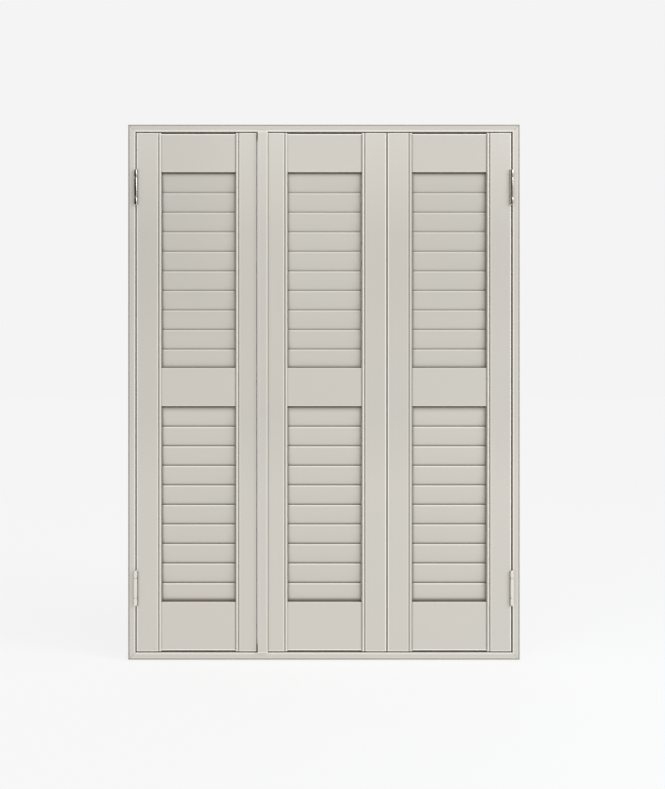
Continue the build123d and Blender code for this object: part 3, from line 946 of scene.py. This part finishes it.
def screw(face_x, out, y, z):
    """Screw head on a face whose outside is towards out along X, as a closed shell."""
    radius = screw_radius * np.linspace(1.0, hub_share, screw_rings)[:, None]
    from_slots = angles(spokes)
    turn = from_slots + slot_turn
    across, up = radius * np.cos(turn), radius * np.sin(turn)
    arm = np.minimum(np.abs(radius * np.cos(from_slots)), np.abs(radius * np.sin(from_slots)))
    within = np.clip((slot_reach - radius) / slot_fade, 0, 1)
    recess = np.clip(slot_shoulder - arm / slot_half, 0, 1) * within
    rise = screw_crown * (1 - (radius / screw_radius) ** 2) - slot_depth * recess
    seat = [np.full(spokes, -seat_depth), across[0] * seat_share, up[0] * seat_share]
    rim = np.stack(seat, axis=-1)[None]
    head = np.concatenate([rim, np.stack([rise, across, up], axis=-1)])
    return ring_shell(np.array([face_x, y, z]) + head * [out, 1, 1])


leaves_low, leaves_high, _ = place("left_hinge_leaves")
hinge_heights = (leaves_low[2] + hinge_height / 2, leaves_high[2] - hinge_height / 2)
jamb_face = half_width - frame_face
left_edge, right_edge = stile_low[0], place("right_hinge_stile")[1][0]
middle_far = place("middle_fold_stile")[1][0]
right_near = place("right_fold_stile")[0][0] + tongue_reach
jamb_axis_x, jamb_axis_y = (jamb_face + right_edge) / 2, panel_front - standoff
left_axis, right_axis = (-jamb_axis_x, jamb_axis_y), (jamb_axis_x, jamb_axis_y)
fold_axis = ((middle_far + right_near) / 2, panel_back + standoff)
jamb_leaf = (jamb_face - right_edge - leaf_play) / 2
fold_leaf = (right_near - middle_far - leaf_play) / 2

hinge_halves = [
    ("jamb_hinge_leaves", left_axis, -jamb_face, jamb_leaf, outer_knuckles),
    ("jamb_hinge_leaves", right_axis, jamb_face, -jamb_leaf, outer_knuckles),
    ("left_hinge_leaves", left_axis, left_edge, -jamb_leaf, inner_knuckle),
    ("right_hinge_leaves", right_axis, right_edge, jamb_leaf, inner_knuckle),
    ("right_fold_leaves", fold_axis, right_near, -fold_leaf, outer_knuckles),
    ("middle_fold_leaves", fold_axis, middle_far, fold_leaf, inner_knuckle),
]
leaf_shells, screw_shells = {}, {}
for node, (axis_x, axis_y), plate_x, thickness, knuckles in hinge_halves:
    depth, way = (fold_leaf_depth, -1) if "fold" in node else (jamb_leaf_depth, 1)
    for height in hinge_heights:
        leaf_shells.setdefault(node, []).extend(
            leaf(axis_x, axis_y, plate_x, thickness, depth, way, height, knuckles)
        )
        for rise, share in zip(screw_heights, screw_depth_shares):
            screw_shells.setdefault(node, []).append(screw(
                plate_x + thickness, np.sign(thickness),
                axis_y + way * (standoff + share * depth), height + rise,
            ))
for node, shells in leaf_shells.items():
    body = place(node)[2]
    build(f"nickel_{node}", shells, hinge_nickel, body, [node])
    build(node.replace("leaves", "screws"), screw_shells[node], screw_nickel, body)
pin_axes = {"jamb_hinge_pins": [left_axis, right_axis], "fold_hinge_pins": [fold_axis]}
for node, axes in pin_axes.items():
    shells = [hinge_pin(x, y, height) for x, y in axes for height in hinge_heights]
    build(f"nickel_{node}", shells, hinge_nickel, place(node)[2], [node])
print("hinge leaves:", len(leaf_shells), "groups, screws:", sum(map(len, screw_shells.values())))

# %% [markdown]
# The stage is a plain pale floor under an even pale sky, so that the far edge of the floor
# doesn't show. The light comes from a broad ring round the camera, with less from right behind
# it: that lights the faces and leaves the gaps and the quirks dark, because a slot sees only
# what is straight in front of it. Some light comes from behind, for the back. A large soft
# panel on the right makes that side a little brighter. Polished metal needs something to
# reflect, so a dark card hangs in front of each upper hinge and a bright one high on the right,
# where only mirror reflections see them. The lower hinges mirror the pale floor.

# %% Stage and light
sky_level, all_round, lobe_gain, lobe_dip, back_gain = 0.905, 0.30, 2.12, 0.75, 0.9
lobe_way, white = (0.10, -0.99, 0.04), (1, 1, 1, 1)
world = bpy.data.worlds.new("studio")
scene.world = world
world.use_nodes = True
sky_shader, sky = world.node_tree.nodes["Background"], Field(world.node_tree)
direction = sky.make("ShaderNodeTexCoord", output="Generated")
facing = sky.make(
    "ShaderNodeVectorMath", {"operation": "DOT_PRODUCT"}, {0: direction, 1: lobe_way}, output="Value"
)
behind = (0.0 - facing).at_least(0.0)
lobe = facing.at_least(0.0)
broad = lobe * lobe
ring = broad * (1.0 - lobe_dip * (broad * broad))
lit = all_round + lobe_gain * ring + back_gain * (behind * behind)
seen = sky.make("ShaderNodeLightPath", output="Is Camera Ray")
sky.feed(sky_shader, {"Strength": lit + seen * (sky_level - lit), "Color": white})
scene.view_settings.view_transform = "Standard"

floor_reach, floor_drop, floor_glow, floor_roughness = 200.0, 0.2 * mm, 0.722, 0.9
floor_dark, floor_light = (0.30, 0.30, 0.30, 1), (0.31, 0.31, 0.31, 1)
cloud_scale, cloud_detail = 3.0, 2.0
floor_material, floor_shader, floor_graph = new_material("pale_floor")
floor_where = floor_graph.make("ShaderNodeTexCoord", output="Object")
floor_cloud = floor_where.noise(cloud_scale, cloud_detail)
floor_graph.feed(floor_shader, {
    "Base Color": floor_graph.mix(floor_cloud, floor_dark, floor_light),
    "Roughness": floor_roughness, "Specular IOR Level": 0.0,
    "Emission Color": white, "Emission Strength": floor_glow,
})


def sheet(name, corners, material):
    """One flat quad of the stage."""
    mesh = bpy.data.meshes.new(name)
    mesh.from_pydata(corners, [], [(0, 1, 2, 3)])
    mesh.materials.append(material)
    quad = add(name, mesh)
    return quad


floor_ways = np.array([(-1, -1), (1, -1), (1, 1), (-1, 1)])
floor_corners = [(x, y, -floor_drop) for x, y in floor_reach * floor_ways]
floor = sheet("floor", floor_corners, floor_material)
floor.visible_diffuse = False

soft_size, soft_energy, soft_colour = 1.2, 23.0, (0.86, 0.94, 1.0)
soft_place, soft_tip, soft_turn = (2.2, -1.6, 1.5), math.radians(70), math.radians(54)
panel_light = bpy.data.lights.new("soft_panel", "AREA")
panel_light.shape, panel_light.size, panel_light.energy = "SQUARE", soft_size, soft_energy
panel_light.color = soft_colour
soft_panel = add("soft_panel", panel_light)
soft_panel.location = soft_place
soft_panel.rotation_euler = (soft_tip, 0, soft_turn)
soft_panel.visible_glossy = False

card_black, card_white, card_glow = (0.01, 0.01, 0.01, 1), (1, 0.98, 0.94, 1), 4.0
dark_material, dark_shader, dark_graph = new_material("dark_card")
dark_graph.feed(dark_shader, {"Base Color": card_black, "Specular IOR Level": 0.0})
bright_material, bright_shader, bright_graph = new_material("bright_card")
bright_graph.feed(bright_shader, {"Emission Color": card_white, "Emission Strength": card_glow})
card_y, card_low, card_high = -0.17, 0.7, 1.2
dark_cards = {"left_dark_card": (-2.0, -0.20, -0.28), "right_dark_card": (0.10, 0.56, 0.42)}
card_corners = {
    name: [
        (left_side, card_y, card_low), (right_foot, card_y, card_low),
        (right_top, card_y, card_high), (left_side, card_y, card_high),
    ]
    for name, (left_side, right_foot, right_top) in dark_cards.items()
}
bright_near, bright_far = (1.85, -2.09), (2.55, -1.12)
near_low, far_low, bright_top = 1.68, 1.30, 2.80
card_corners["bright_card"] = [
    (*bright_near, near_low), (*bright_far, far_low),
    (*bright_far, bright_top), (*bright_near, bright_top),
]
for name, corners in card_corners.items():
    card = sheet(name, corners, bright_material if name == "bright_card" else dark_material)
    card.visible_camera = card.visible_diffuse = card.visible_shadow = False
    card.visible_transmission = card.visible_volume_scatter = False
print("stage:", floor.name, *card_corners, soft_panel.name)

# %% [markdown]
# The photograph looks straight at the shutter from about two and a half metres. Its middle
# pixel falls a little right of and below the middle of the frame, so the camera stands opposite
# that point, and needs neither a turn nor a shift. The distance counts from half way down the
# bevel, between the outline that shows and the face.

# %% Camera
image_width, image_height = 665, 789
frame_top_pixel, frame_bottom_pixel = 124.3, 660.0
frame_left_pixel, frame_right_pixel = 127.7, 520.1
camera_distance, sensor = 2.6, 36.0
pixel = frame_height / (frame_bottom_pixel - frame_top_pixel)
centre_x = (image_width / 2 - (frame_left_pixel + frame_right_pixel) / 2) * pixel
centre_z = (frame_bottom_pixel - image_height / 2) * pixel
camera_data = bpy.data.cameras.new("camera")
camera_data.sensor_width = sensor
camera_data.lens = sensor * camera_distance / (image_height * pixel)
camera = add("camera", camera_data)
camera.location = (centre_x, frame_front + bevel_depth / 2 - camera_distance, centre_z)
camera.rotation_euler = (math.pi / 2, 0, 0)
bpy.context.scene.camera = camera
print(f"camera: lens {camera_data.lens:.1f} mm, {pixel / mm:.2f} mm to the pixel")
